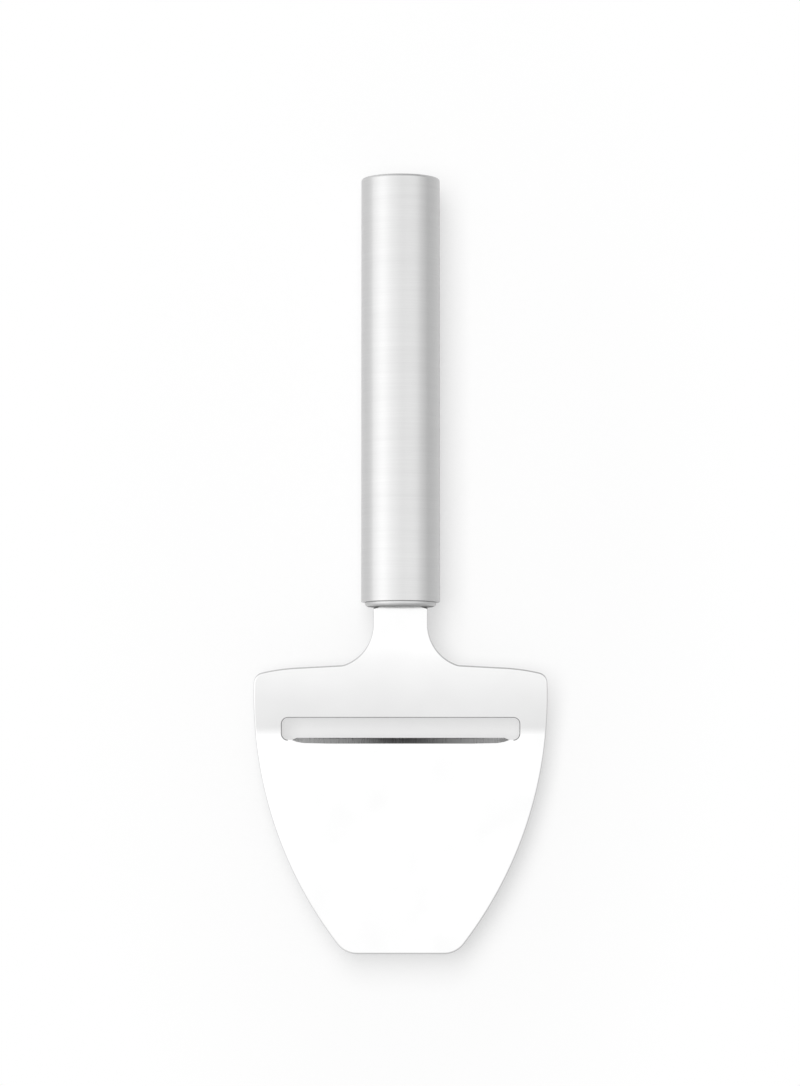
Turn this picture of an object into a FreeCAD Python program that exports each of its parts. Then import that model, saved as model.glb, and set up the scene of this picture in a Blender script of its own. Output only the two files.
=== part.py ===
import FreeCAD, Part
import math
import os

# Cheese slicer: a pressed steel blade with a cutting slot, held by its tang in a closed tube handle.
# Millimetres, +Z up, +Y from the blade's tip towards the handle's rear end.
# The origin is on the handle's axis, in the middle of the tube's straight wall, where the handle is held.
# A reach is counted from the tube's mouth towards the tip, and a depth from the mouth into the handle.

# Handle tube
handle_diameter = 22.0
handle_length = 119.0
tube_wall = 1.0
mouth_rounding = 0.45
rear_rounding = 0.8
wall_rounding_share = 0.85  # the most of the tube's wall that a rounding may take

# End cap, pressed into the rear of the tube
cap_recess = 0.3
cap_face = 1.2
cap_skirt_depth = 6.0
cap_skirt_wall = 1.2
cap_edge = 0.3
cap_fit = 0.02

# Front collar, pressed into the tube's mouth
collar_nose = 1.25
collar_rounding = 1.1
collar_web = 3.0
collar_depth = 10.0
collar_skirt_wall = 2.2
collar_fit = 0.05

# Seal ring, in a groove round the collar
groove_start_depth = 4.0
groove_width = 2.0
groove_depth = 1.0
seal_side_gap = 0.15
seal_fit = 0.02

# Blade sheet, seen from the side: level neck, shoulders that fall at a rake, a crease and a level plate
blade_thickness = 1.5
level_reach = 8.0
rake_angle = 11.0
crease_radius = 14.0
crease_share = 0.57  # where the middle of the crease crosses the slot's height

# Blade outline, seen from above
blade_reach = 97.8
blade_width = 82.0
widest_reach = 26.5
tip_width = 30.9
tip_corner = 7.0
neck_margin = 1.25  # how much of the collar's face shows on each side of the neck
neck_corner = 0.7
neck_sweep = 12.0
neck_blend = 4.0
neck_undercut = 0.36  # how far the neck's sweep would run past the shoulder line
shoulder_reach = 16.63
shoulder_angle = 3.0
shoulder_flat = 58.0
shoulder_curve = 55.0
shoulder_corner = 3.0
rim_rounding = 0.5
rim_rounding_share = 0.4  # the most of the sheet's thickness that the rim's rounding may take

# Cutting slot and its lip
slot_reach = 32.1
slot_length = 66.4
slot_height = 6.3
slot_corner = 1.8
lip_length = 60.6
lip_taper = 1.3
lip_lead = 0.6
lip_land = 0.35
land_fall = 0.15
lip_run = 1.3
lip_drop = 0.3
lip_heel = 3.0

# Tang, core and pin, inside the handle
tang_length = 58.0
tang_side_wall = 2.2
tang_corner = 2.5
tang_fit = 0.1
core_back = 6.0
core_lead = 1.0
core_fit = 0.1
spigot_gap = 0.2
pin_diameter = 3.0
pin_from_tang_end = 20.0
pin_hole_fit = 0.05
pin_recess = 0.4
pin_edge = 0.3

cut_overrun = 5.0
steep_share = 0.7  # a face or an edge counts as level or upright by this share of its direction

# Radii and places that follow from these
tube_radius = handle_diameter / 2
bore_radius = tube_radius - tube_wall
collar_radius = bore_radius - collar_fit
cup_radius = collar_radius - collar_skirt_wall
cup_start_depth = collar_web - collar_nose
spigot_radius = cup_radius - core_fit
core_radius = bore_radius - core_fit
core_end_depth = tang_length + core_back
tang_half = spigot_radius - tang_side_wall
nose_round = min(collar_rounding, collar_nose)
neck_half = collar_radius - nose_round - neck_margin
pin_radius = pin_diameter / 2
pin_depth = tang_length - pin_from_tang_end
sheet_half = blade_thickness / 2
mouth_round = min(mouth_rounding, tube_wall * wall_rounding_share)
rear_round = min(rear_rounding, tube_wall * wall_rounding_share)
grip_depth = (mouth_round + handle_length - rear_round) / 2
across = FreeCAD.Vector(1, 0, 0)
along = FreeCAD.Vector(0, 1, 0)
up = FreeCAD.Vector(0, 0, 1)


def flat_point(x, y):
    return FreeCAD.Vector(x, y, 0)


def side_point(y, z):
    return FreeCAD.Vector(0, y, z)


def line(start, end):
    return Part.LineSegment(start, end).toShape()


def arc(centre, start, end):
    # An arc of less than half a circle about the centre.
    radius = start.distanceToPoint(centre)
    middle = (start + end) / 2 - centre
    return Part.Arc(start, centre + middle.normalize() * radius, end).toShape()


def towards(centre, other, distance):
    return centre + (other - centre).normalize() * distance


def turned(edges, angle=360):
    # A solid of revolution about the handle's axis.
    face = Part.Face(Part.Wire(Part.__sortEdges__(edges)))
    return face.revolve(FreeCAD.Vector(), along, angle)


def open_chain(points):
    # Straight edges from each point to the next.
    return [line(points[i], points[i + 1]) for i in range(len(points) - 1)]


def closed_chain(points):
    return open_chain(points + points[:1])


def circles_meet(centre_a, radius_a, centre_b, radius_b):
    # Where two circles cross, on the left of the line from centre a to centre b.
    span = centre_b - centre_a
    gap = span.Length
    share = (gap**2 + radius_a**2 - radius_b**2) / (2 * gap**2)
    side = math.sqrt(radius_a**2 - (share * gap) ** 2)
    left = flat_point(-span.y, span.x).normalize()
    return centre_a + span * share + left * side


def handle_tube():
    mouth_face = flat_point(tube_radius - mouth_round, 0)
    mouth_side = flat_point(tube_radius, mouth_round)
    rear_side = flat_point(tube_radius, handle_length - rear_round)
    rear_face = flat_point(tube_radius - rear_round, handle_length)
    straight = open_chain(
        [rear_face, flat_point(bore_radius, handle_length), flat_point(bore_radius, 0), mouth_face]
    )
    mouth_arc = arc(flat_point(tube_radius - mouth_round, mouth_round), mouth_face, mouth_side)
    rear_centre = flat_point(tube_radius - rear_round, handle_length - rear_round)
    rear_arc = arc(rear_centre, rear_side, rear_face)
    return turned(straight + [mouth_arc, line(mouth_side, rear_side), rear_arc])


def end_cap():
    radius = bore_radius - cap_fit
    face_y = handle_length - cap_recess
    inner_radius = radius - cap_skirt_wall
    return turned(
        closed_chain(
            [
                flat_point(0, face_y),
                flat_point(radius - cap_edge, face_y),
                flat_point(radius, face_y - cap_edge),
                flat_point(radius, face_y - cap_skirt_depth),
                flat_point(inner_radius, face_y - cap_skirt_depth),
                flat_point(inner_radius, face_y - cap_face),
                flat_point(0, face_y - cap_face),
            ]
        )
    )


def front_collar():
    groove_end_depth = groove_start_depth + groove_width
    groove_radius = collar_radius - groove_depth
    nose_face = flat_point(collar_radius - nose_round, -collar_nose)
    nose_side = flat_point(collar_radius, nose_round - collar_nose)
    nose_arc = arc(flat_point(collar_radius - nose_round, nose_round - collar_nose), nose_face, nose_side)
    straight = open_chain(
        [
            nose_side,
            flat_point(collar_radius, groove_start_depth),
            flat_point(groove_radius, groove_start_depth),
            flat_point(groove_radius, groove_end_depth),
            flat_point(collar_radius, groove_end_depth),
            flat_point(collar_radius, collar_depth),
            flat_point(cup_radius, collar_depth),
            flat_point(cup_radius, cup_start_depth),
            flat_point(0, cup_start_depth),
            flat_point(0, -collar_nose),
            nose_face,
        ]
    )
    body = turned(straight + [nose_arc])
    return body.cut(tang_space(-collar_nose - cut_overrun, cup_start_depth + cut_overrun))


def tang_space(start_depth, end_depth):
    # The room that the tang takes, with its fit, between two depths.
    width = tang_half + tang_fit
    height = sheet_half + tang_fit
    corner = FreeCAD.Vector(-width, start_depth, -height)
    return Part.makeBox(2 * width, end_depth - start_depth, 2 * height, corner)


def collar_seal():
    # A squeezed ring: flat where it meets the groove and the bore, round at its two sides.
    inner = collar_radius - groove_depth + seal_fit
    outer = bore_radius - seal_fit
    side_radius = (outer - inner) / 2
    middle = (outer + inner) / 2
    front_y = groove_start_depth + seal_side_gap + side_radius
    back_y = groove_start_depth + groove_width - seal_side_gap - side_radius
    front_side = Part.Arc(
        flat_point(inner, front_y), flat_point(middle, front_y - side_radius), flat_point(outer, front_y)
    ).toShape()
    back_side = Part.Arc(
        flat_point(inner, back_y), flat_point(middle, back_y + side_radius), flat_point(outer, back_y)
    ).toShape()
    inside = line(flat_point(inner, front_y), flat_point(inner, back_y))
    outside = line(flat_point(outer, front_y), flat_point(outer, back_y))
    return turned([front_side, back_side, inside, outside])


def pin_hole(radius):
    base = FreeCAD.Vector(0, pin_depth, -tube_radius)
    return Part.makeCylinder(radius, handle_diameter, base, up)


def tang_core_upper():
    half = turned(
        closed_chain(
            [
                flat_point(0, cup_start_depth + spigot_gap),
                flat_point(spigot_radius, cup_start_depth + spigot_gap),
                flat_point(spigot_radius, collar_depth),
                flat_point(core_radius, collar_depth),
                flat_point(core_radius, core_end_depth - core_lead),
                flat_point(core_radius - core_lead, core_end_depth),
                flat_point(0, core_end_depth),
            ]
        ),
        -180,
    )
    half = half.cut(tang_space(-cut_overrun, tang_length + tang_fit))
    return half.cut(pin_hole(pin_radius + pin_hole_fit))


def tang_core_lower():
    return tang_core_upper().mirror(FreeCAD.Vector(), up)


def tang_pin():
    half_length = core_radius - pin_recess
    base = FreeCAD.Vector(0, pin_depth, -half_length)
    pin = Part.makeCylinder(pin_radius, 2 * half_length, base, up)
    rims = [edge for edge in pin.Edges if edge.Closed]
    return pin.makeChamfer(pin_edge, rims)


def plate_drop():
    # How far the level plate lies below the handle's axis, and the radius of the shoulders' fall.
    rake = math.radians(rake_angle)
    crease_middle = slot_reach + slot_height * crease_share
    crease_start = crease_middle - crease_radius * math.sin(rake) / 2
    fall_radius = (crease_start - level_reach) / math.sin(rake)
    return (fall_radius + crease_radius) * (1 - math.cos(rake)), fall_radius


def bent_sheet():
    # The sheet's side profile, pulled across the whole width.
    rake = math.radians(rake_angle)
    drop, fall_radius = plate_drop()
    fall_centre = side_point(-level_reach, -fall_radius)
    lean = side_point(-math.sin(rake), math.cos(rake))
    crease_centre = fall_centre + lean * (fall_radius + crease_radius)

    def skin(offset):
        # The top or the bottom of the sheet, from the tang's end to the tip.
        tang_end = side_point(tang_length, offset)
        level_end = side_point(-level_reach, offset)
        fall_end = fall_centre + lean * (fall_radius + offset)
        crease_end = side_point(crease_centre.y, offset - drop)
        tip = side_point(-blade_reach - cut_overrun, offset - drop)
        edges = [
            line(tang_end, level_end),
            arc(fall_centre, level_end, fall_end),
            arc(crease_centre, fall_end, crease_end),
            line(crease_end, tip),
        ]
        return edges, tang_end, tip

    top_edges, top_tang, top_tip = skin(sheet_half)
    bottom_edges, bottom_tang, bottom_tip = skin(-sheet_half)
    edges = top_edges + bottom_edges + [line(top_tang, bottom_tang), line(top_tip, bottom_tip)]
    profile = Part.Face(Part.Wire(Part.__sortEdges__(edges)))
    profile.translate(across * -blade_width)
    return profile.extrude(across * (2 * blade_width))


def side_and_tip():
    # The side's arc through the widest place and the tip's corner, then the round corner itself.
    rise = (blade_width - tip_width) / 2
    run = blade_reach - widest_reach
    radius = (run**2 + rise**2) / (2 * rise)
    centre = flat_point(blade_width / 2 - radius, -widest_reach)
    corner_y = tip_corner - blade_reach
    corner_x = centre.x + math.sqrt((radius - tip_corner) ** 2 - (corner_y - centre.y) ** 2)
    corner_centre = flat_point(corner_x, corner_y)
    side_end = towards(centre, corner_centre, radius)
    tip_end = flat_point(corner_x, -blade_reach)
    return centre, radius, side_end, tip_end, arc(corner_centre, side_end, tip_end)


def right_outline():
    # The right edge of the blade from the tang's end to the tip, tangent all the way below the neck's top.
    slope = math.radians(shoulder_angle)
    outwards = flat_point(math.cos(slope), -math.sin(slope))
    inwards = flat_point(-math.sin(slope), -math.cos(slope))
    shoulder_base = flat_point(0, -shoulder_reach)

    sweep_lift = neck_sweep - neck_undercut
    sweep_base = shoulder_base - inwards * sweep_lift
    sweep_centre = sweep_base + outwards * ((neck_half + neck_sweep - sweep_base.x) / outwards.x)
    sweep_start = flat_point(neck_half, sweep_centre.y)
    blend_back = math.sqrt((neck_sweep - neck_blend) ** 2 - (sweep_lift - neck_blend) ** 2)
    blend_centre = sweep_centre + inwards * (sweep_lift - neck_blend) - outwards * blend_back
    sweep_end = towards(sweep_centre, blend_centre, neck_sweep)
    blend_end = blend_centre + inwards * neck_blend

    flat_end = shoulder_base + outwards * (shoulder_flat / 2 / outwards.x)
    curve_centre = flat_end + inwards * shoulder_curve
    side_centre, side_radius, side_end, tip_end, tip_arc = side_and_tip()
    corner_centre = circles_meet(
        side_centre, side_radius - shoulder_corner, curve_centre, shoulder_curve - shoulder_corner
    )
    curve_end = towards(curve_centre, corner_centre, shoulder_curve)
    side_start = towards(side_centre, corner_centre, side_radius)

    tang_side = flat_point(tang_half, tang_length - tang_corner)
    tang_end = flat_point(tang_half - tang_corner, tang_length)
    tang_centre = flat_point(tang_half - tang_corner, tang_length - tang_corner)
    seat_in = flat_point(tang_half, -collar_nose)
    seat_out = flat_point(neck_half - neck_corner, -collar_nose)
    neck_top = flat_point(neck_half, -collar_nose - neck_corner)
    neck_centre = flat_point(neck_half - neck_corner, -collar_nose - neck_corner)
    edges = [
        arc(tang_centre, tang_end, tang_side),
        line(tang_side, seat_in),
        line(seat_in, seat_out),
        arc(neck_centre, seat_out, neck_top),
        line(neck_top, sweep_start),
        arc(sweep_centre, sweep_start, sweep_end),
        arc(blend_centre, sweep_end, blend_end),
        line(blend_end, flat_end),
        arc(curve_centre, flat_end, curve_end),
        arc(corner_centre, curve_end, side_start),
        arc(side_centre, side_start, side_end),
        tip_arc,
    ]
    return edges, tang_end, tip_end


def outline_prism():
    right, tang_end, tip_end = right_outline()
    left = [edge.mirror(FreeCAD.Vector(), across) for edge in right]
    tang_line = line(tang_end, flat_point(-tang_end.x, tang_end.y))
    tip_line = line(tip_end, flat_point(-tip_end.x, tip_end.y))
    face = Part.Face(Part.Wire(Part.__sortEdges__(right + left + [tang_line, tip_line])))
    face.translate(up * -handle_diameter)
    return face.extrude(up * (2 * handle_diameter))


def is_rim(blank, edge):
    # True for the long edges of the visible outline, top and bottom, where the sheet's skin meets its side.
    middle = edge.valueAt((edge.FirstParameter + edge.LastParameter) / 2)
    if middle.y > -collar_nose - neck_corner:
        return False
    level = []
    for face in blank.ancestorsOfType(edge, Part.Face):
        u, v = face.Surface.parameter(middle)
        level.append(abs(face.normalAt(u, v).z) > steep_share)
    return len(level) == 2 and level[0] != level[1]


def slot_prism():
    half_length = slot_length / 2
    slot = Part.makeBox(
        slot_length,
        slot_height,
        2 * handle_diameter,
        FreeCAD.Vector(-half_length, -slot_reach - slot_height, -handle_diameter),
    )
    corners = [edge for edge in slot.Edges if abs(edge.tangentAt(edge.FirstParameter).z) > steep_share]
    return slot.makeFillet(slot_corner, corners)


def lip():
    # The strip of plate along the slot: plain at its two ends, and between them a ramp down to a narrow land,
    # whose edge does the cutting.
    drop, _ = plate_drop()
    top = sheet_half - drop
    bottom = -sheet_half - drop
    slot_line = -slot_reach - slot_height
    edge_y = slot_line + lip_lead
    edge_z = bottom - lip_drop
    land_y = edge_y - lip_land
    root_y = land_y - lip_run
    heel_y = root_y - lip_heel
    plain = [(heel_y, top), (slot_line, top), (slot_line, -drop), (slot_line, bottom), (heel_y, bottom)]
    ground = [(heel_y, top), (root_y, top), (land_y, edge_z + land_fall), (edge_y, edge_z), (heel_y, bottom)]
    half_length = lip_length / 2
    stations = [
        (-half_length, plain),
        (lip_taper - half_length, ground),
        (half_length - lip_taper, ground),
        (half_length, plain),
    ]
    sections = []
    for x, corners in stations:
        points = [FreeCAD.Vector(x, y, z) for y, z in corners]
        sections.append(Part.makePolygon(points + points[:1]))
    room = Part.makeBox(
        lip_length,
        slot_line - heel_y + lip_lead,
        2 * handle_diameter,
        FreeCAD.Vector(-half_length, heel_y, -handle_diameter),
    )
    return Part.makeLoft(sections, True, True), room


def blade():
    blank = bent_sheet().common(outline_prism()).Solids[0]
    rims = [edge for edge in blank.Edges if is_rim(blank, edge)]
    rounding = min(rim_rounding, blade_thickness * rim_rounding_share)
    body = blank.makeFillet(rounding, rims)
    body = body.cut(slot_prism()).cut(pin_hole(pin_radius + pin_hole_fit))
    lip_strip, lip_room = lip()
    return body.cut(lip_room).fuse(lip_strip).removeSplitter()


def write_parts(makers):
    os.makedirs("parts", exist_ok=True)
    for maker in makers:
        shape = maker()
        shape.translate(along * -grip_depth)
        solids = shape.Solids
        if len(solids) != 1 or not shape.isValid():
            raise RuntimeError(f"{maker.__name__}: {len(solids)} solids, valid {shape.isValid()}")
        solids[0].exportStep(f"parts/{maker.__name__}.step")
        print(f"{maker.__name__}: {solids[0].Volume:.1f} cubic mm")


write_parts(
    [
        blade,
        handle_tube,
        end_cap,
        front_collar,
        collar_seal,
        tang_core_upper,
        tang_core_lower,
        tang_pin,
    ]
)
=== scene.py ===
import bmesh
import bpy
import math
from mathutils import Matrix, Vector
from mathutils.geometry import intersect_sphere_sphere_2d


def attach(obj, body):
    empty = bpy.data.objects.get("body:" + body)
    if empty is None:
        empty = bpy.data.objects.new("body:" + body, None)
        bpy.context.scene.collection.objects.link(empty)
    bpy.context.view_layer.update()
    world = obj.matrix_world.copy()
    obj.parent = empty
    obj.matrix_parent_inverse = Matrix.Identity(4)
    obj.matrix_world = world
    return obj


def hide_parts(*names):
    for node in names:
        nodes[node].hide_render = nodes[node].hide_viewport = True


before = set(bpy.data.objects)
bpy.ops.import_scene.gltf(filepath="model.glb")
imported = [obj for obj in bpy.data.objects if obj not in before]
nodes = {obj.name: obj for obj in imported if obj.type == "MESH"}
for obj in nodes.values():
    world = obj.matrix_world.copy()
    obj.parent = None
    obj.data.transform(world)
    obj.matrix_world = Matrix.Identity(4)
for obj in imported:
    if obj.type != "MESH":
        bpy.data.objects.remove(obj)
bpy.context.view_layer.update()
mm = 0.001
slack = 0.01  # mm within which a vertex counts as lying on a line
weld = 0.002  # mm within which vertices become one
square = 0.95  # share of a face's normal along an axis from which the face counts as square to it
waveStep = 0.314  # units after which the Wave texture repeats at scale 1
across, along = Vector((1, 0, 0)), Vector((0, 1, 0))
print("frame loaded:", sorted(nodes))


def linear(hexColour):
    # An sRGB hex colour as the linear values that Blender wants.
    channels = [int(hexColour[i:i + 2], 16) / 255 for i in (1, 3, 5)]
    return [c / 12.92 if c <= 0.04045 else ((c + 0.055) / 1.055) ** 2.4 for c in channels] + [1.0]


def scaleFor(size):
    # The scale at which one unit of a pattern measures this many mm.
    return 1 / (size * mm)


def plug(tree, node, inputs):
    # Links each input that is given another node's output, and sets the others.
    for name, value in inputs.items():
        if isinstance(value, bpy.types.NodeSocket):
            tree.links.new(value, node.inputs[name])
        else:
            node.inputs[name].default_value = value


def addNode(tree, kind, inputs=None, **settings):
    # Adds a node with its settings and links.
    node = tree.nodes.new(kind)
    for name, value in settings.items():
        setattr(node, name, value)
    plug(tree, node, inputs or {})
    return node


def newMaterial(name):
    material = bpy.data.materials.new(name)
    material.use_nodes = True
    tree = material.node_tree
    return material, tree, tree.nodes["Principled BSDF"]


# Blade steel: stainless sheet, cold rolled and mirror polished. It shows the room almost sharply, with only a
# trace of the polishing wheel's hairlines and a slow ripple left by the press.
polish = {"colour": "#E6E6E6", "smudged": "#DFDFDF", "roughness": (0.1, 0.16), "smudgeSize": 14.0,
          "hairWidth": 0.22, "hairLength": 9.0, "hairDepth": 0.01, "rippleSize": 26.0, "rippleDepth": 0.2,
          "bump": 0.05}


def polishedStainless():
    material, tree, shader = newMaterial("stainless_sheet_mirror_polished")
    place = addNode(tree, "ShaderNodeTexCoord").outputs["Object"]
    smudge = addNode(tree, "ShaderNodeTexNoise", {
        "Vector": place, "Scale": scaleFor(polish["smudgeSize"]), "Detail": 3.0, "Roughness": 0.55})
    # Hairlines are far finer than a pixel, so they are drawn about four times too wide.
    lay = addNode(tree, "ShaderNodeMapping", {
        "Vector": place,
        "Scale": [scaleFor(polish[side]) for side in ("hairWidth", "hairLength", "hairLength")]})
    hair = addNode(tree, "ShaderNodeTexNoise", {"Vector": lay.outputs["Vector"], "Scale": 1.0, "Detail": 2.0})
    ripple = addNode(tree, "ShaderNodeTexNoise", {
        "Vector": place, "Scale": scaleFor(polish["rippleSize"]), "Detail": 1.0})
    tone = addNode(tree, "ShaderNodeMix", {
        "Factor": smudge.outputs["Fac"], "A": linear(polish["colour"]), "B": linear(polish["smudged"])},
        data_type="RGBA")
    low, high = polish["roughness"]
    dull = addNode(tree, "ShaderNodeMapRange", {
        "Value": smudge.outputs["Fac"], "From Min": 0.3, "From Max": 0.75, "To Min": low, "To Max": high})
    waves = addNode(tree, "ShaderNodeBump", {
        "Height": ripple.outputs["Fac"], "Strength": polish["bump"], "Distance": polish["rippleDepth"] * mm})
    lines = addNode(tree, "ShaderNodeBump", {
        "Height": hair.outputs["Fac"], "Strength": polish["bump"], "Distance": polish["hairDepth"] * mm,
        "Normal": waves.outputs["Normal"]})
    plug(tree, shader, {"Metallic": 1.0, "Base Color": tone.outputs["Result"],
                        "Roughness": dull.outputs["Result"], "Normal": lines.outputs["Normal"]})
    return material


# Cutting lip: the same sheet, ground to an edge. The wheel leaves short scratches square to the edge, so the
# ramp is duller than the plate and shows fine light and dark strokes. Its colours are also set dark, a
# painted reflection of the shade under the blade and handle, and towards its ends it is painted lighter, a
# painted reflection of the brighter paper beyond the slot. The slot was punched, and its sheared rim is left
# dull; its colours are set dark too, a painted shade that draws a thin dark line.
grindAndPaintedReflection = {"bright": "#D0D0D0", "dark": "#4A4A4A", "roughness": (0.2, 0.38), "strokeWidth": 0.3,
         "strokeLength": 7.0, "strokeDepth": 0.03, "bump": 0.35, "marks": (0.15, 0.4),
         "paintedLightFrom": 4.0, "paintedLightTo": 29.0, "paintedLighten": 0.5}
punchAndPaintedShade = {"bright": "#9C9C9C", "dark": "#5C5C5C", "roughness": (0.35, 0.5), "strokeWidth": 0.6,
         "strokeLength": 3.0, "strokeDepth": 0.03, "bump": 0.35, "marks": (0.0, 1.0),
         "paintedLightFrom": 4.0, "paintedLightTo": 29.0, "paintedLighten": 0.0}


def scratchedEdge(name, finish):
    material, tree, shader = newMaterial(name)
    place = addNode(tree, "ShaderNodeTexCoord").outputs["Object"]
    # Marks of about 0.05 mm are drawn some six to twelve times as wide, or none would show.
    lay = addNode(tree, "ShaderNodeMapping", {
        "Vector": place,
        "Scale": [scaleFor(finish[side]) for side in ("strokeWidth", "strokeLength", "strokeLength")]})
    stroke = addNode(tree, "ShaderNodeTexNoise", {
        "Vector": lay.outputs["Vector"], "Scale": 1.0, "Detail": 4.0, "Roughness": 0.6})
    faint, strong = finish["marks"]
    marks = addNode(tree, "ShaderNodeMapRange", {
        "Value": stroke.outputs["Fac"], "From Min": 0.25, "From Max": 0.75,
        "To Min": faint, "To Max": strong})
    # Painted reflection: further out from the blade's middle the colour is painted lighter, standing for the
    # brighter paper that the lip's ends mirror; the rim gets none of it.
    spot = addNode(tree, "ShaderNodeSeparateXYZ", {"Vector": place})
    aside = addNode(tree, "ShaderNodeMath", {0: spot.outputs["X"]}, operation="ABSOLUTE")
    light = addNode(tree, "ShaderNodeMapRange", {
        "Value": aside.outputs[0], "From Min": finish["paintedLightFrom"] * mm, "From Max": finish["paintedLightTo"] * mm,
        "To Max": finish["paintedLighten"]})
    both = addNode(tree, "ShaderNodeMath", {0: marks.outputs["Result"], 1: light.outputs["Result"]},
                   operation="ADD")
    # Both colours of each finish are set dark, a painted shade that darkens the ramp and the rim beyond what
    # their strokes give.
    tone = addNode(tree, "ShaderNodeMix", {
        "Factor": both.outputs[0], "A": linear(finish["dark"]), "B": linear(finish["bright"])},
        data_type="RGBA")
    low, high = finish["roughness"]
    dull = addNode(tree, "ShaderNodeMapRange", {
        "Value": stroke.outputs["Fac"], "To Min": low, "To Max": high})
    scratch = addNode(tree, "ShaderNodeBump", {
        "Height": stroke.outputs["Fac"], "Strength": finish["bump"], "Distance": finish["strokeDepth"] * mm})
    plug(tree, shader, {"Metallic": 1.0, "Base Color": tone.outputs["Result"],
                        "Roughness": dull.outputs["Result"], "Normal": scratch.outputs["Normal"]})
    return material


# Handle: drawn stainless tube, turned against an abrasive belt. The scratches run round its girth, so light
# smears along the handle and stays fairly crisp across it, with fine rings of lighter and darker metal.
brush = {"colour": "#E0E0E0", "worn": "#D1D1D1", "roughness": (0.27, 0.36), "ringWidth": 0.3,
         "ringLength": 16.0, "ringDepth": 0.02, "bump": 0.12, "bandWidth": 2.4, "bandLength": 32.0,
         "bandShare": 0.35, "anisotropy": 0.75, "smearTurn": 0.25}


def brushedStainless():
    material, tree, shader = newMaterial("stainless_tube_belt_brushed")
    place = addNode(tree, "ShaderNodeTexCoord").outputs["Object"]
    # Belt scratches of about 0.06 mm are drawn at 0.3 mm, which is one pixel of the picture.
    lay = addNode(tree, "ShaderNodeMapping", {
        "Vector": place,
        "Scale": [scaleFor(brush[side]) for side in ("ringLength", "ringWidth", "ringLength")]})
    rings = addNode(tree, "ShaderNodeTexNoise", {
        "Vector": lay.outputs["Vector"], "Scale": 1.0, "Detail": 3.0, "Roughness": 0.65})
    wide = addNode(tree, "ShaderNodeMapping", {
        "Vector": place,
        "Scale": [scaleFor(brush[side]) for side in ("bandLength", "bandWidth", "bandLength")]})
    bands = addNode(tree, "ShaderNodeTexNoise", {
        "Vector": wide.outputs["Vector"], "Scale": 1.0, "Detail": 2.0})
    both = addNode(tree, "ShaderNodeMix", {
        "Factor": brush["bandShare"], "A": rings.outputs["Fac"], "B": bands.outputs["Fac"]})
    tone = addNode(tree, "ShaderNodeMix", {
        "Factor": both.outputs["Result"], "A": linear(brush["worn"]), "B": linear(brush["colour"])},
        data_type="RGBA")
    low, high = brush["roughness"]
    dull = addNode(tree, "ShaderNodeMapRange", {
        "Value": both.outputs["Result"], "To Min": high, "To Max": low})
    scratch = addNode(tree, "ShaderNodeBump", {
        "Height": rings.outputs["Fac"], "Strength": brush["bump"], "Distance": brush["ringDepth"] * mm})
    # The tangent runs round the girth, and a quarter turn lays the smear square to the scratches.
    girth = addNode(tree, "ShaderNodeTangent", direction_type="RADIAL", axis="Y")
    plug(tree, shader, {"Metallic": 1.0, "Base Color": tone.outputs["Result"],
                        "Roughness": dull.outputs["Result"], "Normal": scratch.outputs["Normal"],
                        "Anisotropic": brush["anisotropy"], "Tangent": girth.outputs["Tangent"],
                        "Anisotropic Rotation": brush["smearTurn"]})
    return material


# Collar and cap: stainless bar, turned on a lathe. The tool leaves even rings about the handle's axis. The
# collar's front was faced with a coarse feed and not polished, so it is dull, and its colour is set darker as
# painted shade, which draws a dark line across the neck.
turning = {"colour": "#E0E0E0", "groove": "#CDCDCD", "roughness": (0.28, 0.38), "feed": 0.32,
           "cloudSize": 3.0, "grooveDepth": 0.02, "bump": 0.08}
facingAndPaintedShade = {"colour": "#A2A2A2", "groove": "#868686", "roughness": (0.5, 0.62), "feed": 0.5,
          "cloudSize": 3.0, "grooveDepth": 0.02, "bump": 0.08}


def turnedStainless(name, finish):
    material, tree, shader = newMaterial(name)
    place = addNode(tree, "ShaderNodeTexCoord").outputs["Object"]
    # Feeds of about 0.1 mm are drawn some four times as wide, or no ring would show.
    rings = addNode(tree, "ShaderNodeTexWave", {
        "Vector": place, "Scale": waveStep * scaleFor(finish["feed"]), "Distortion": 0.6, "Detail": 1.0,
        "Detail Scale": 0.4}, wave_type="RINGS", rings_direction="Y")
    cloud = addNode(tree, "ShaderNodeTexNoise", {
        "Vector": place, "Scale": scaleFor(finish["cloudSize"]), "Detail": 2.0})
    both = addNode(tree, "ShaderNodeMix", {
        "Factor": 0.5, "A": rings.outputs["Fac"], "B": cloud.outputs["Fac"]})
    tone = addNode(tree, "ShaderNodeMix", {
        "Factor": both.outputs["Result"], "A": linear(finish["groove"]), "B": linear(finish["colour"])},
        data_type="RGBA")
    low, high = finish["roughness"]
    dull = addNode(tree, "ShaderNodeMapRange", {
        "Value": both.outputs["Result"], "To Min": high, "To Max": low})
    groove = addNode(tree, "ShaderNodeBump", {
        "Height": rings.outputs["Fac"], "Strength": finish["bump"], "Distance": finish["grooveDepth"] * mm})
    plug(tree, shader, {"Metallic": 1.0, "Base Color": tone.outputs["Result"],
                        "Roughness": dull.outputs["Result"], "Normal": groove.outputs["Normal"]})
    return material


# Seal: black nitrile ring, moulded, with a faint bloom that lightens it in soft patches.
sealRing = {"colour": "#161616", "bloom": "#252525", "roughness": (0.5, 0.7), "ior": 1.52, "patch": 1.5}


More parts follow.
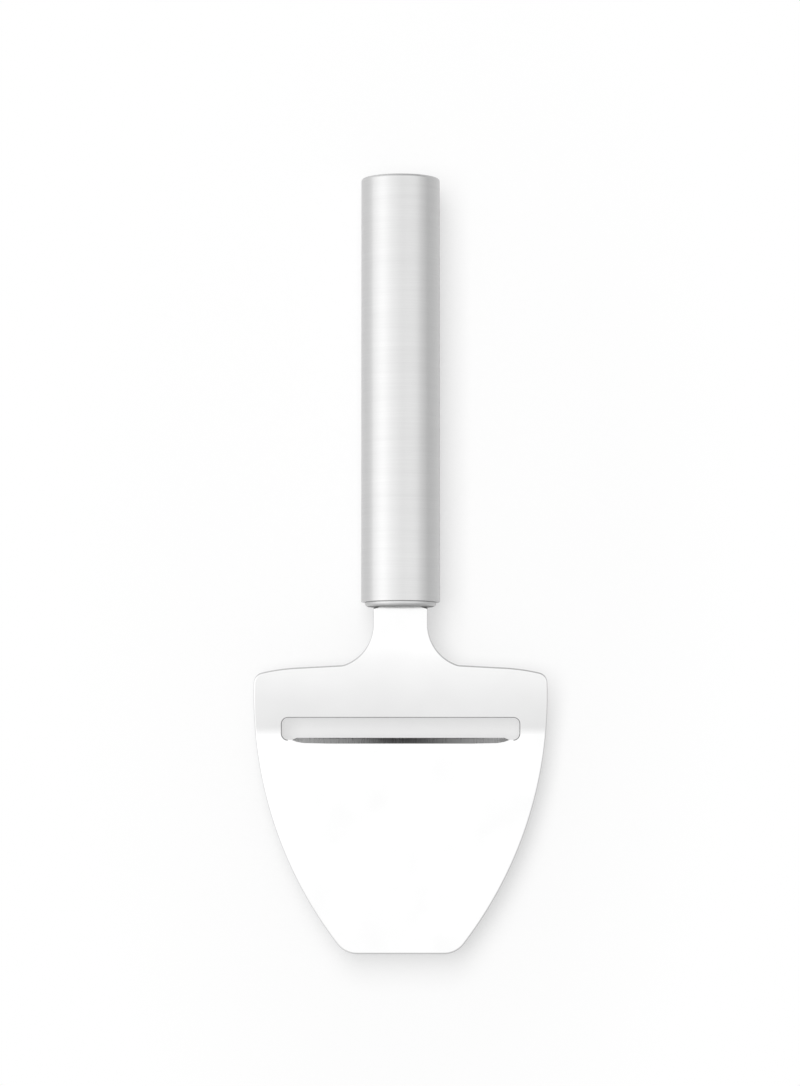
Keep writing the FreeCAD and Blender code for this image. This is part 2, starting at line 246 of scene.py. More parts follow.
def mouldedNitrile():
    material, tree, shader = newMaterial("nitrile_rubber_moulded")
    place = addNode(tree, "ShaderNodeTexCoord").outputs["Object"]
    bloom = addNode(tree, "ShaderNodeTexNoise", {
        "Vector": place, "Scale": scaleFor(sealRing["patch"]), "Detail": 3.0})
    tone = addNode(tree, "ShaderNodeMix", {
        "Factor": bloom.outputs["Fac"], "A": linear(sealRing["colour"]), "B": linear(sealRing["bloom"])},
        data_type="RGBA")
    low, high = sealRing["roughness"]
    dull = addNode(tree, "ShaderNodeMapRange", {"Value": bloom.outputs["Fac"], "To Min": low, "To Max": high})
    plug(tree, shader, {"IOR": sealRing["ior"], "Base Color": tone.outputs["Result"],
                        "Roughness": dull.outputs["Result"]})
    return material


# Core halves: dark nylon, injection moulded, with the fine even grain of a spark-eroded tool.
coreHalf = {"colour": "#3B3B3B", "flow": "#454545", "roughness": (0.42, 0.6), "ior": 1.53, "flowSize": 9.0,
            "grain": 0.25, "grainDepth": 0.02, "bump": 0.2}


def mouldedNylon():
    material, tree, shader = newMaterial("nylon_injection_moulded")
    place = addNode(tree, "ShaderNodeTexCoord").outputs["Object"]
    flow = addNode(tree, "ShaderNodeTexNoise", {
        "Vector": place, "Scale": scaleFor(coreHalf["flowSize"]), "Detail": 2.0})
    grain = addNode(tree, "ShaderNodeTexNoise", {
        "Vector": place, "Scale": scaleFor(coreHalf["grain"]), "Detail": 2.0})
    tone = addNode(tree, "ShaderNodeMix", {
        "Factor": flow.outputs["Fac"], "A": linear(coreHalf["colour"]), "B": linear(coreHalf["flow"])},
        data_type="RGBA")
    low, high = coreHalf["roughness"]
    dull = addNode(tree, "ShaderNodeMapRange", {"Value": grain.outputs["Fac"], "To Min": low, "To Max": high})
    pits = addNode(tree, "ShaderNodeBump", {
        "Height": grain.outputs["Fac"], "Strength": coreHalf["bump"],
        "Distance": coreHalf["grainDepth"] * mm})
    plug(tree, shader, {"IOR": coreHalf["ior"], "Base Color": tone.outputs["Result"],
                        "Roughness": dull.outputs["Result"], "Normal": pits.outputs["Normal"]})
    return material


# Pin: bright steel rod, centreless ground, so it is smooth with a faint spiral of the wheel along it.
rod = {"colour": "#CECECE", "wheel": "#BDBDBD", "roughness": (0.2, 0.28), "pitch": 0.4}


def groundSteelRod():
    material, tree, shader = newMaterial("steel_rod_centreless_ground")
    place = addNode(tree, "ShaderNodeTexCoord").outputs["Object"]
    spiral = addNode(tree, "ShaderNodeTexWave", {
        "Vector": place, "Scale": waveStep * scaleFor(rod["pitch"]), "Distortion": 1.0},
        wave_type="BANDS", bands_direction="Z")
    tone = addNode(tree, "ShaderNodeMix", {
        "Factor": spiral.outputs["Fac"], "A": linear(rod["wheel"]), "B": linear(rod["colour"])},
        data_type="RGBA")
    low, high = rod["roughness"]
    dull = addNode(tree, "ShaderNodeMapRange", {
        "Value": spiral.outputs["Fac"], "To Min": high, "To Max": low})
    plug(tree, shader, {"Metallic": 1.0, "Base Color": tone.outputs["Result"],
                        "Roughness": dull.outputs["Result"]})
    return material


mirrorSteel = polishedStainless()
edgeSteelPaintedReflection = scratchedEdge("stainless_edge_ground_painted_reflection", grindAndPaintedReflection)
punchedSteelPaintedShade = scratchedEdge("stainless_edge_punched_painted_shade", punchAndPaintedShade)
tubeSteel = brushedStainless()
latheSteel = turnedStainless("stainless_bar_turned", turning)
facedSteelPaintedShade = turnedStainless("stainless_bar_faced_painted_shade", facingAndPaintedShade)
hiddenFinishes = {"collar_seal": mouldedNitrile(), "tang_pin": groundSteelRod()}
hiddenFinishes["tang_core_upper"] = hiddenFinishes["tang_core_lower"] = mouldedNylon()
for name, material in hiddenFinishes.items():
    nodes[name].data.materials.clear()
    nodes[name].data.materials.append(material)
print("materials made:", len(bpy.data.materials))


def drawPath(name, start, moves):
    # Pulls one vertex along a path in the xy plane, in mm. A move is a point to go straight to, or an arc,
    # given as its centre, its end and its steps, that goes round the shorter way.
    bpy.ops.object.select_all(action="DESELECT")
    bpy.ops.mesh.primitive_plane_add(size=mm, enter_editmode=True)
    piece = bpy.context.object
    piece.name = piece.data.name = name
    bpy.ops.mesh.select_mode(type="VERT")
    bpy.ops.mesh.merge(type="CENTER")
    here = Vector(start).to_3d()
    bpy.ops.transform.translate(value=here * mm)
    for move in moves:
        if len(move) == 2:
            there = Vector(move).to_3d()
            bpy.ops.mesh.extrude_region_move(TRANSFORM_OT_translate={"value": (there - here) * mm})
        else:
            centre, there, steps = Vector(move[0]).to_3d(), Vector(move[1]).to_3d(), move[2]
            fromArm, toArm = here - centre, there - centre
            turn = math.atan2(fromArm.cross(toArm).z, fromArm.dot(toArm))
            bpy.ops.mesh.spin(steps=steps, angle=-turn, center=centre * mm, axis=(0, 0, 1))
        here = there
    bpy.ops.mesh.select_all(action="SELECT")
    bpy.ops.mesh.remove_doubles(threshold=weld * mm)
    return piece


def pick(piece, kind, test):
    # Selects the vertices, edges or faces that pass the test, and nothing else.
    bpy.ops.mesh.select_mode(type=kind)
    bpy.ops.mesh.select_all(action="DESELECT")
    mesh = bmesh.from_edit_mesh(piece.data)
    for item in {"VERT": mesh.verts, "EDGE": mesh.edges, "FACE": mesh.faces}[kind]:
        if test(item):
            item.select_set(True)
    mesh.select_flush_mode()
    bmesh.update_edit_mesh(piece.data)


def finishPiece(piece, node, smoothAngle):
    # Shades the piece so that flat faces stay flat and roundings run smoothly, and puts it in the place of
    # the CAD node.
    bpy.ops.mesh.select_all(action="SELECT")
    bpy.ops.mesh.normals_make_consistent(inside=False)
    bpy.ops.object.mode_set(mode="OBJECT")
    bpy.ops.object.shade_smooth_by_angle(angle=math.radians(smoothAngle))
    bpy.ops.object.modifier_add(type="WEIGHTED_NORMAL")
    piece.modifiers[-1].keep_sharp = True
    bpy.ops.object.modifier_apply(modifier=piece.modifiers[-1].name)
    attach(piece, "root")
    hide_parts(node)
    print(piece.name, "finished,", len(piece.data.polygons), "faces")


# Blade: the flat blank is drawn and thickened, its edges are rounded, the lip is ground, and then the
# shoulders are bent over line by line as on a press brake. Sizes are in mm, from the tube's mouth, with y
# into the handle.
blank = {
    "mouth": -59.325, "thickness": 1.5, "rimRound": 0.5, "slotRound": 0.28, "roundSteps": 5,
    "tangEnd": 58.0, "tangHalf": 5.45, "tangCorner": 2.5, "pinPlace": 38.0, "pinHole": 1.55,
    "seat": -1.25, "neckHalf": 7.6, "neckCorner": 0.7, "neckSweep": 12.0, "neckBlend": 4.0,
    "neckUndercut": 0.36,  # how far the neck's sweep would run past the shoulder's line
    "shoulder": -16.63, "shoulderSlope": 3.0, "shoulderHalf": 29.0, "shoulderCurve": 55.0,
    "shoulderCorner": 3.0,
    "widest": -26.5, "half": 41.0, "tip": -97.8, "tipHalf": 15.45, "tipCorner": 7.0,
    "slotTop": -32.1, "slotLow": -38.4, "slotHalf": 33.2, "slotCorner": 1.8,
    "lipRoot": -39.45, "lipHeel": -42.45, "lipFull": 29.0, "lipEnd": 30.3,
    "lipTopMove": (0, 0.25, -1.65), "lipLowMove": (0, 0.6, -0.3),
    "lipTaper": {20.0: 0.0, 27.0: 0.15, 29.0: 0.5, 30.3: 1.0},  # how far the ramp's root curves in at each x
    "bendStart": -8.0, "rake": 11.0, "fallLength": 26.52, "fallLines": 24, "creaseLength": 2.69,
    "creaseLines": 10, "stretch": 1.00199, "trim": 0.99985,
    "slotBand": 1.0, "lipBand": 0.1,  # margins within which an edge counts as being at the slot or the lip
    "rimReach": 0.3, "rimTilt": 0.93, "rampTilt": (0.3, 0.2)}  # these tell the rim and the ramp from the skin


def towards(centre, other, distance):
    return centre + (other - centre).normalized() * distance


def blankOutline():
    # The right half of the blank: from the tang's end along its edge to the tip, and back up the middle,
    # round half the slot and half the pin hole. Below the neck's top all runs and arcs of the edge are
    # tangent.
    size = blank
    slope = math.radians(size["shoulderSlope"])
    outwards = Vector((math.cos(slope), -math.sin(slope)))
    inwards = Vector((-math.sin(slope), -math.cos(slope)))
    shoulder = Vector((0, size["shoulder"]))

    lift = size["neckSweep"] - size["neckUndercut"]
    sweepBase = shoulder - inwards * lift
    sweepCentre = sweepBase + outwards * ((size["neckHalf"] + size["neckSweep"] - sweepBase.x) / outwards.x)
    blendLift = lift - size["neckBlend"]
    blendBack = math.sqrt((size["neckSweep"] - size["neckBlend"]) ** 2 - blendLift ** 2)
    blendCentre = sweepCentre + inwards * blendLift - outwards * blendBack
    blendEnd = blendCentre + inwards * size["neckBlend"]

    rise, run = size["half"] - size["tipHalf"], size["widest"] - size["tip"]
    sideRadius = (run ** 2 + rise ** 2) / (2 * rise)
    sideCentre = Vector((size["half"] - sideRadius, size["widest"]))
    tipY = size["tip"] + size["tipCorner"]
    tipX = sideCentre.x + math.sqrt((sideRadius - size["tipCorner"]) ** 2 - (tipY - sideCentre.y) ** 2)
    tipCentre = Vector((tipX, tipY))

    flatEnd = shoulder + outwards * (size["shoulderHalf"] / outwards.x)
    curveCentre = flatEnd + inwards * size["shoulderCurve"]
    cornerCentre = max(intersect_sphere_sphere_2d(
        sideCentre, sideRadius - size["shoulderCorner"], curveCentre,
        size["shoulderCurve"] - size["shoulderCorner"]), key=lambda centre: centre.x)

    tang = Vector((size["tangHalf"], size["tangEnd"])) - Vector((1, 1)) * size["tangCorner"]
    neck = Vector((size["neckHalf"], size["seat"])) - Vector((1, 1)) * size["neckCorner"]
    slotX = size["slotHalf"] - size["slotCorner"]
    slotLowY, slotTopY = size["slotLow"] + size["slotCorner"], size["slotTop"] - size["slotCorner"]
    pin, pinRight = (0, size["pinPlace"]), (size["pinHole"], size["pinPlace"])
    return [
        (tang.x, size["tangEnd"]), (tang, (size["tangHalf"], tang.y), 8), (size["tangHalf"], size["seat"]),
        (neck.x, size["seat"]), (neck, (size["neckHalf"], neck.y), 10), (size["neckHalf"], sweepCentre.y),
        (sweepCentre, towards(sweepCentre, blendCentre, size["neckSweep"]), 28), (blendCentre, blendEnd, 10),
        flatEnd, (curveCentre, towards(curveCentre, cornerCentre, size["shoulderCurve"]), 12),
        (cornerCentre, towards(sideCentre, cornerCentre, sideRadius), 20),
        (sideCentre, towards(sideCentre, tipCentre, sideRadius), 56),
        (tipCentre, (tipX, size["tip"]), 20), (0, size["tip"]),
        (0, size["slotLow"]), (size["lipFull"], size["slotLow"]), (size["lipEnd"], size["slotLow"]),
        (slotX, size["slotLow"]), ((slotX, slotLowY), (size["slotHalf"], slotLowY), 14),
        (size["slotHalf"], slotTopY), ((slotX, slotTopY), (slotX, size["slotTop"]), 14), (0, size["slotTop"]),
        (0, size["pinPlace"] - size["pinHole"]), (pin, pinRight, 8),
        (pin, (0, size["pinPlace"] + size["pinHole"]), 8), (0, size["tangEnd"]),
    ]


def drawBlank():
    piece = drawPath("blade_sheet", (0, blank["tangEnd"]), blankOutline())
    bpy.ops.mesh.edge_face_add()
    bpy.ops.transform.translate(value=(0, 0, -blank["thickness"] / 2 * mm))
    bpy.ops.mesh.extrude_region_move(TRANSFORM_OT_translate={"value": (0, 0, blank["thickness"] * mm)})
    print("blank drawn")
    return piece


def roundRims(piece):
    # The slot gets a small rounding, apart from its lip, and the outer rim below the seat a full one.
    def onSkin(edge):
        a, b = (v.co / mm for v in edge.verts)
        level = abs(a.z - b.z) < slack and abs(abs(a.z) - blank["thickness"] / 2) < slack
        return level and max(a.x, b.x) > slack  # and not on the mirror line

    def atSlot(v, margin):
        return (blank["slotLow"] - margin < v.co.y / mm < blank["slotTop"] + margin
                and v.co.x / mm < blank["slotHalf"] + margin)

    def atLip(v):
        straightEnd = blank["slotHalf"] - blank["slotCorner"]
        return abs(v.co.y / mm - blank["slotLow"]) < slack and v.co.x / mm < straightEnd + slack

    def slotRim(edge):
        return all(atSlot(v, slack) for v in edge.verts) and not all(atLip(v) for v in edge.verts)

    def outerRim(edge):
        return all(v.co.y / mm < blank["seat"] + slack and not atSlot(v, blank["slotBand"])
                   for v in edge.verts)

    for isRim, radius in ((slotRim, blank["slotRound"]), (outerRim, blank["rimRound"])):
        pick(piece, "EDGE", lambda e: onSkin(e) and isRim(e))
        bpy.ops.mesh.bevel(offset=radius * mm, segments=blank["roundSteps"], affect="EDGES",
                           clamp_overlap=False)


def cutAt(axis, place):
    # Cuts the selected faces by a plane square to the axis.
    bpy.ops.mesh.bisect(plane_co=axis * place * mm, plane_no=axis)


def grindLip(piece):
    # A ramp ground into the top, down to a narrow land that stands just below the sole.
    slotLow = blank["slotLow"]
    for side, far in ((1, blank["lipRoot"]), (-1, blank["lipHeel"])):
        for y in (slotLow, far):
            pick(piece, "FACE", lambda f: f.normal.z * side > square)
            cutAt(along, y)
        for x in blank["lipTaper"]:
            pick(piece, "FACE", lambda f: f.normal.z * side > square
                 and far < f.calc_center_median().y / mm < slotLow)
            cutAt(across, x)
    for side, move in ((1, blank["lipTopMove"]), (-1, blank["lipLowMove"])):
        pick(piece, "VERT", lambda v: abs(v.co.y / mm - slotLow) < slack and v.co.z * side > 0
             and v.co.x / mm < blank["lipFull"] + slack)
        bpy.ops.transform.translate(value=Vector(move) * mm)
    for x, shift in blank["lipTaper"].items():
        pick(piece, "VERT", lambda v: abs(v.co.x / mm - x) < slack
             and abs(v.co.y / mm - blank["lipRoot"]) < slack and v.co.z > 0)
        bpy.ops.transform.translate(value=along * shift * mm)

    # The cuts that ran on past the lip, across flat sheet, are taken out again.
    def spareCut(edge):
        low, high = blank["lipHeel"] - blank["lipBand"], slotLow + blank["lipBand"]
        flat = edge.is_manifold and edge.calc_face_angle() < math.radians(0.05)
        return flat and all(v.co.x / mm > blank["lipEnd"] - slack and low < v.co.y / mm < high
                            for v in edge.verts)

    pick(piece, "EDGE", spareCut)
    bpy.ops.mesh.dissolve_edges(use_verts=False)
    print("lip ground")


def bendShoulders(piece):
    # Cuts the sheet along every bend, then bends it from the tip's side up, each line turning all beyond it.
    bends, start = [], blank["bendStart"]
    for length, lines, angle in ((blank["fallLength"], blank["fallLines"], blank["rake"]),
                                 (blank["creaseLength"], blank["creaseLines"], -blank["rake"])):
        bends += [(start - (i + 0.5) * length / lines, math.radians(angle / lines)) for i in range(lines)]
        start -= length
    for y, _ in bends:
        bpy.ops.mesh.select_all(action="SELECT")
        cutAt(along, y)
    for y, angle in reversed(bends):
        pick(piece, "VERT", lambda v: v.co.y / mm < y + slack)
        bpy.ops.transform.rotate(value=-angle, orient_axis="X", center_override=along * y * mm)

    # The length lost in the bends is given back, and the width goes just inside the CAD's facets.
    pick(piece, "VERT", lambda v: v.co.y / mm < blank["bendStart"])
    bpy.ops.transform.resize(value=(1, blank["stretch"], 1), center_override=along * blank["bendStart"] * mm)
    bpy.ops.mesh.select_all(action="SELECT")
    bpy.ops.transform.resize(value=(blank["trim"], 1, 1), center_override=(0, 0, 0))
    lowest = min(v.co.z for v in bmesh.from_edit_mesh(piece.data).verts)
    print("shoulders bent, lip at", round(lowest / mm, 3), "mm")


def mirrorBlade(piece):
    # Adds the other half, and moves the blade to its place in the frame.
    pick(piece, "FACE", lambda f: all(v.co.x / mm < slack for v in f.verts))
    bpy.ops.mesh.delete(type="FACE")
    bpy.ops.mesh.select_all(action="SELECT")
    bpy.ops.transform.translate(value=along * blank["mouth"] * mm)
    bpy.ops.object.mode_set(mode="OBJECT")
    bpy.ops.object.modifier_add(type="MIRROR")
    piece.modifiers[-1].merge_threshold = weld * mm
    bpy.ops.object.modifier_apply(modifier=piece.modifiers[-1].name)
    bpy.ops.object.mode_set(mode="EDIT")


def dressBlade(piece):
    for material in (mirrorSteel, edgeSteelPaintedReflection, punchedSteelPaintedShade):
        piece.data.materials.append(material)
    low = blank["mouth"] + blank["lipRoot"] - blank["rimReach"]
    high = blank["mouth"] + blank["slotTop"] + blank["rimReach"]
    leanY, leanZ = blank["rampTilt"]

    def atSlot(face):
        middle = face.calc_center_median() / mm
        return low < middle.y < high and abs(middle.x) < blank["slotHalf"] + blank["rimReach"]

    def onRim(face):
        return atSlot(face) and abs(face.normal.z) < blank["rimTilt"]

    def onRamp(face):
        inLip = abs(face.calc_center_median().x) < blank["lipEnd"] * mm
        return atSlot(face) and inLip and face.normal.y > leanY and face.normal.z > leanZ

    for slot, test in ((2, onRim), (1, onRamp)):
        pick(piece, "FACE", test)
        piece.active_material_index = slot
        bpy.ops.object.material_slot_assign()


def makeBlade():
    piece = drawBlank()
    roundRims(piece)
    grindLip(piece)
    bendShoulders(piece)
    mirrorBlade(piece)
    dressBlade(piece)
    finishPiece(piece, "blade", 30)


makeBlade()


def spinPath(name, start, moves, sides):
    # A path in the handle's half section, x out from its axis and y along it, spun round the axis.
    piece = drawPath(name, start, moves)
    bpy.ops.mesh.spin(steps=sides, angle=2 * math.pi, center=(0, 0, 0), axis=(0, 1, 0))
    bpy.ops.mesh.select_all(action="SELECT")
    bpy.ops.mesh.remove_doubles(threshold=weld * mm)
    bpy.ops.mesh.normals_make_consistent(inside=False)
    return piece


# Handle: a straight tube, almost sharp at its mouth and rounded at its rear end.
tube = {"radius": 10.995, "bore": 10.0, "mouth": -59.325, "rear": 59.674, "mouthRound": 0.22,
        "rearRound": 0.8, "sides": 192}


def makeHandle():
    radius, bore, mouth, rear = tube["radius"], tube["bore"], tube["mouth"], tube["rear"]
    nearX, nearY = radius - tube["mouthRound"], mouth + tube["mouthRound"]
    farX, farY = radius - tube["rearRound"], rear - tube["rearRound"]
    piece = spinPath("handle_tube_brushed", (bore, mouth), [
        (nearX, mouth), ((nearX, nearY), (radius, nearY), 8),
        (radius, farY), ((farX, farY), (farX, rear), 8), (bore, rear), (bore, mouth)], tube["sides"])
    piece.data.materials.append(tubeSteel)
    finishPiece(piece, "handle_tube", 35)


makeHandle()

# Front collar: a turned plug with a rounded nose, a groove for the seal, a cup for the core and a slot for
# the tang. A fine seam is turned into it where the tube ends; its floor carries the darker faced finish as
# painted shade, so it shows as a thin dark line.
collar = {"radius": 9.95, "face": -60.575, "noseRound": 0.9, "back": -49.325,
          "cup": 7.75, "cupFloor": -57.575,
          "seam": 9.6, "seamNear": -59.435, "seamFar": -59.125,
          "groove": 8.95, "grooveNear": -55.325, "grooveFar": -53.325,
          "slotWidth": 11.1, "slotHeight": 1.7, "sides": 160}


def drawCollar():
    radius, face = collar["radius"], collar["face"]
    noseX, noseY = radius - collar["noseRound"], face + collar["noseRound"]
    moves = [(noseX, face), ((noseX, noseY), (radius, noseY), 10)]
    for ring in ("seam", "groove"):
        near, far = collar[ring + "Near"], collar[ring + "Far"]
        moves += [(radius, near), (collar[ring], near), (collar[ring], far), (radius, far)]
    moves += [(radius, collar["back"]), (collar["cup"], collar["back"]), (collar["cup"], collar["cupFloor"]),
              (0, collar["cupFloor"])]
    return spinPath("front_collar_turned", (0, face), moves, collar["sides"])


def cutTangSlot(piece):
    # A block twice as long as the collar's web is deep goes right through it.
    web = collar["cupFloor"] - collar["face"]
    bpy.ops.object.mode_set(mode="OBJECT")
    bpy.ops.object.select_all(action="DESELECT")
    bpy.ops.mesh.primitive_cube_add(size=mm, location=along * (collar["face"] + web / 2) * mm,
                                    scale=(collar["slotWidth"], 2 * web, collar["slotHeight"]))
    cutter = bpy.context.object
    bpy.context.view_layer.objects.active = piece
    bpy.ops.object.modifier_add(type="BOOLEAN")
    piece.modifiers[-1].object = cutter
    bpy.ops.object.modifier_apply(modifier=piece.modifiers[-1].name)
    bpy.ops.object.delete()  # only the cutter is selected
    piece.select_set(True)
    bpy.ops.object.mode_set(mode="EDIT")


def makeCollar():
    piece = drawCollar()
    cutTangSlot(piece)
    piece.data.materials.clear()
    piece.data.materials.append(latheSteel)
    piece.data.materials.append(facedSteelPaintedShade)

    # The front face and the floor of the seam take the faced finish, whose darker colour is painted shade at
    # the joint.
    def dullWithPaintedShade(f):
        middle = f.calc_center_median() / mm
        atFront = f.normal.y < -square and middle.y < collar["face"] + collar["noseRound"] / 4
        belowSkin = math.hypot(middle.x, middle.z) < (collar["radius"] + collar["seam"]) / 2 + slack
        return atFront or belowSkin and collar["seamNear"] - slack < middle.y < collar["seamFar"] + slack

    pick(piece, "FACE", dullWithPaintedShade)
    piece.active_material_index = 1
    bpy.ops.object.material_slot_assign()
    finishPiece(piece, "front_collar", 35)


makeCollar()

# End cap: a shallow turned cup, pressed in a little below the tube's end.
cap = {"radius": 9.98, "face": 59.375, "edge": 0.3, "back": 53.375, "inner": 8.78, "floor": 58.175,
       "sides": 160}


def makeCap():
    radius, face, inner = cap["radius"], cap["face"], cap["inner"]
    edgeX, edgeY = radius - cap["edge"], face - cap["edge"]
    piece = spinPath("end_cap_turned", (0, face), [
        (edgeX, face), ((edgeX, edgeY), (radius, edgeY), 5), (radius, cap["back"]),
        (inner, cap["back"]), (inner, cap["floor"]), (0, cap["floor"])], cap["sides"])
    piece.data.materials.append(latheSteel)
    finishPiece(piece, "end_cap", 35)


makeCap()

# Floor: a sheet of white paper that the slicer lies on. The camera sees it brightened to white. The metal
# sees it glowing a little dimmer, and that glow is painted dimmest on the right, a painted falloff of light
# away from the window. It keeps the slicer's shadow for both. Its size is in metres, and its places are in
# mm.
paper = {"height": -11.0, "size": 6.0, "colour": "#FCFCFC", "lift": 0.47, "inMetal": 0.5,
         "left": (-130.0, 1.0), "right": (60.0, 0.42),
         "middle": -43.0, "halfWidth": 60.0, "halfLength": 140.0, "whiteFrom": 1.6}


def makeFloor():
    bpy.ops.object.select_all(action="DESELECT")
    bpy.ops.mesh.primitive_plane_add(size=paper["size"], location=(0, 0, paper["height"] * mm))
    floor = bpy.context.object
    floor.name = "paper_floor"
    bpy.ops.object.transform_apply(location=True)
    material, tree, shader = newMaterial("white_paper")
    plug(tree, shader, {"Base Color": linear(paper["colour"]), "Roughness": 1.0, "Specular IOR Level": 0.0})
    ray = addNode(tree, "ShaderNodeLightPath")
    spot = addNode(tree, "ShaderNodeTexCoord").outputs["Object"]
    # Outside an oval round the slicer the paper goes fully white.
    oval = addNode(tree, "ShaderNodeMapping", {
        "Vector": spot, "Location": (0, -paper["middle"] / paper["halfLength"], 0),
        "Scale": (scaleFor(paper["halfWidth"]), scaleFor(paper["halfLength"]), 0)})
    away = addNode(tree, "ShaderNodeVectorMath", {0: oval.outputs["Vector"]}, operation="LENGTH")
    lift = addNode(tree, "ShaderNodeMapRange", {
        "Value": away.outputs["Value"], "From Min": 1.0, "From Max": paper["whiteFrom"],
        "To Min": paper["lift"]})
    place = addNode(tree, "ShaderNodeSeparateXYZ", {"Vector": spot})
    # Painted light: for reflected rays the paper's glow is painted from full strength on the left down to
    # dimmer on the right.
    (leftX, leftLevel), (rightX, rightLevel) = paper["left"], paper["right"]
    paintedFalloff = addNode(tree, "ShaderNodeMapRange", {
        "Value": place.outputs["X"], "From Min": leftX * mm, "From Max": rightX * mm,
        "To Min": leftLevel, "To Max": rightLevel})
    shiny = addNode(tree, "ShaderNodeMath", {
        0: ray.outputs["Is Glossy Ray"], 1: ray.outputs["Is Transmission Ray"]}, operation="MAXIMUM")
    surface = shader.outputs[0]
    for seenBy, share, strength in ((ray.outputs["Is Camera Ray"], lift.outputs["Result"], 1.0),
                                    (shiny.outputs[0], paper["inMetal"], paintedFalloff.outputs["Result"])):
        glow = addNode(tree, "ShaderNodeEmission", {"Strength": strength})
        part = addNode(tree, "ShaderNodeMath", {0: seenBy, 1: share}, operation="MULTIPLY")
        mixed = addNode(tree, "ShaderNodeMixShader", {0: part.outputs[0], 1: surface, 2: glow.outputs[0]})
        surface = mixed.outputs[0]
    plug(tree, tree.nodes["Material Output"], {"Surface": surface})
    floor.data.materials.append(material)
    print("floor laid")


makeFloor()

# Room: what the metal reflects, as places and levels of light. Round the handle's axis, in degrees from
# overhead, it goes from the pale floor on the left, over a bright window of soft light, to a dimmer right
# side. Along the handle, from the tip's end to the rear, it is brightest overhead and dim beyond the tip.
room = {"peak": 1.5, "fill": 0.43,
        "round": [(-180, 0.8), (-126, 0.9), (-104, 1.116), (-91, 1.11), (-79, 1.175), (-68, 1.315),
                  (-58, 1.375), (-48, 1.37), (-38.6, 1.287), (-29.5, 1.22), (-20.5, 1.164), (-11.7, 1.143),
                  (-3, 1.078), (6, 1.056), (23.5, 1.083), (41.7, 1.05), (51, 1.0), (56, 0.92), (61, 0.84),
                  (72, 0.753), (83, 0.64), (95, 0.52), (106, 0.45), (125, 0.6), (180, 0.8)],
        "along": [(-1, 0.48), (-0.95, 0.58), (-0.87, 0.68), (-0.6, 0.76), (-0.48, 0.9), (-0.322, 1.0),
                  (-0.259, 1.02), (-0.194, 1.082), (-0.132, 1.134), (-0.07, 1.17), (-0.047, 1.25), (0, 1.26),
                  (0.047, 1.25), (0.07, 1.17), (0.157, 1.12), (0.3, 1.06), (0.45, 0.86), (0.62, 0.62),
                  (1, 0.5)]}


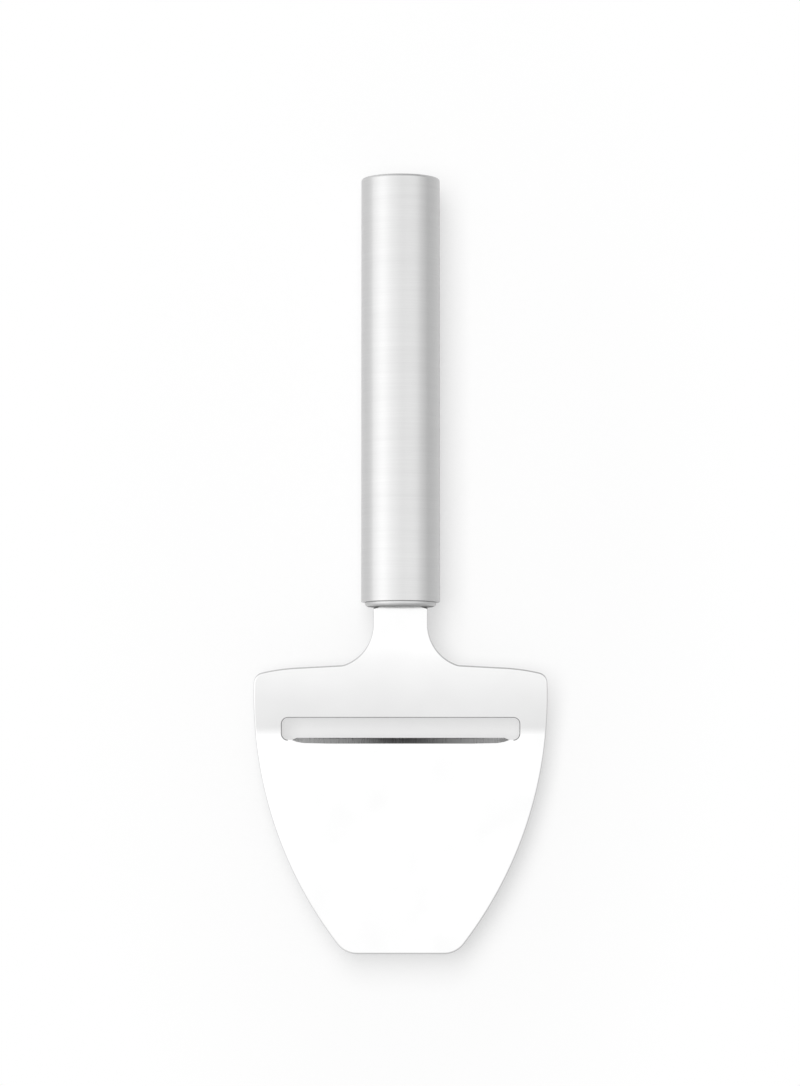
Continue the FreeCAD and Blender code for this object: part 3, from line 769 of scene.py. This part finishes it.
def makeRoom():
    world = bpy.data.worlds.new("studio_room")
    bpy.context.scene.world = world
    world.use_nodes = True
    tree = world.node_tree
    tree.nodes.clear()
    place = addNode(tree, "ShaderNodeTexCoord").outputs["Generated"]
    way = addNode(tree, "ShaderNodeSeparateXYZ", {"Vector": place})
    turn = addNode(tree, "ShaderNodeMath", {0: way.outputs["X"], 1: way.outputs["Z"]}, operation="ARCTAN2")
    degrees = addNode(tree, "ShaderNodeMath", {0: turn.outputs[0]}, operation="DEGREES")
    level = room["peak"] ** 2  # both ramps hold shares of the peak, because a ramp's colours end at 1
    for source, reach, stops in ((degrees.outputs[0], 180, room["round"]),
                                 (way.outputs["Y"], 1, room["along"])):
        share = addNode(tree, "ShaderNodeMapRange", {"Value": source, "From Min": -reach, "From Max": reach})
        light = addNode(tree, "ShaderNodeValToRGB", {"Fac": share.outputs["Result"]})
        ramp = light.color_ramp.elements
        for spot, _ in stops[1:-1]:
            ramp.new((spot / reach + 1) / 2)
        for stop, (_, strength) in zip(ramp, stops):
            stop.color = [strength / room["peak"]] * 3 + [1]
        product = addNode(tree, "ShaderNodeMath", {0: light.outputs["Color"], 1: level}, operation="MULTIPLY")
        level = product.outputs[0]
    ray = addNode(tree, "ShaderNodeLightPath")
    shiny = addNode(tree, "ShaderNodeMath", {
        0: ray.outputs["Is Glossy Ray"], 1: ray.outputs["Is Transmission Ray"]}, operation="MAXIMUM")
    soft = addNode(tree, "ShaderNodeMix", {"Factor": shiny.outputs[0], "A": room["fill"], "B": level})
    seen = addNode(tree, "ShaderNodeMix", {
        "Factor": ray.outputs["Is Camera Ray"], "A": soft.outputs["Result"], "B": 1.0})
    glow = addNode(tree, "ShaderNodeBackground", {
        "Color": linear("#FFFFFF"), "Strength": seen.outputs["Result"]})
    addNode(tree, "ShaderNodeOutputWorld", {"Surface": glow.outputs[0]})
    print("room lit")


makeRoom()

# Key light: one large soft box overhead, behind the handle and to the left, so shadows fall right and towards
# the tip. Sizes are in metres and the power in watts.
softBox = {"place": (-0.9, 1.8, 3.6), "width": 2.67, "depth": 5.76, "power": 142.0}


def makeKey():
    bpy.ops.object.select_all(action="DESELECT")
    bpy.ops.object.light_add(type="AREA", location=softBox["place"])
    lamp = bpy.context.object
    lamp.name = "soft_box"
    lamp.data.shape = "RECTANGLE"
    lamp.data.size, lamp.data.size_y = softBox["width"], softBox["depth"]
    lamp.data.energy = softBox["power"]
    lamp.visible_glossy = False  # the room already holds the soft box's reflection
    print("key light set")


makeKey()

# Camera: almost straight above, leaning a little to the tip's side. Its clip distances are in metres, and its
# other lengths in mm.
shot = {"target": (-0.17, -42.733, 0.0), "elevation": 86.348, "distance": 1100.0, "lens": 130.589,
        "clip": (0.05, 50.0)}


def makeCamera():
    tilt = math.radians(shot["elevation"])
    back = Vector((0, -math.cos(tilt), math.sin(tilt)))
    bpy.ops.object.select_all(action="DESELECT")
    bpy.ops.object.camera_add(location=(Vector(shot["target"]) + back * shot["distance"]) * mm)
    camera = bpy.context.object
    camera.name = "photo_camera"
    camera.data.lens = shot["lens"]
    camera.data.clip_start, camera.data.clip_end = shot["clip"]
    camera.rotation_euler = (-back).to_track_quat("-Z", "Y").to_euler()
    bpy.context.scene.camera = camera
    print("camera set")


makeCamera()

bpy.context.scene.view_settings.view_transform = "Standard"
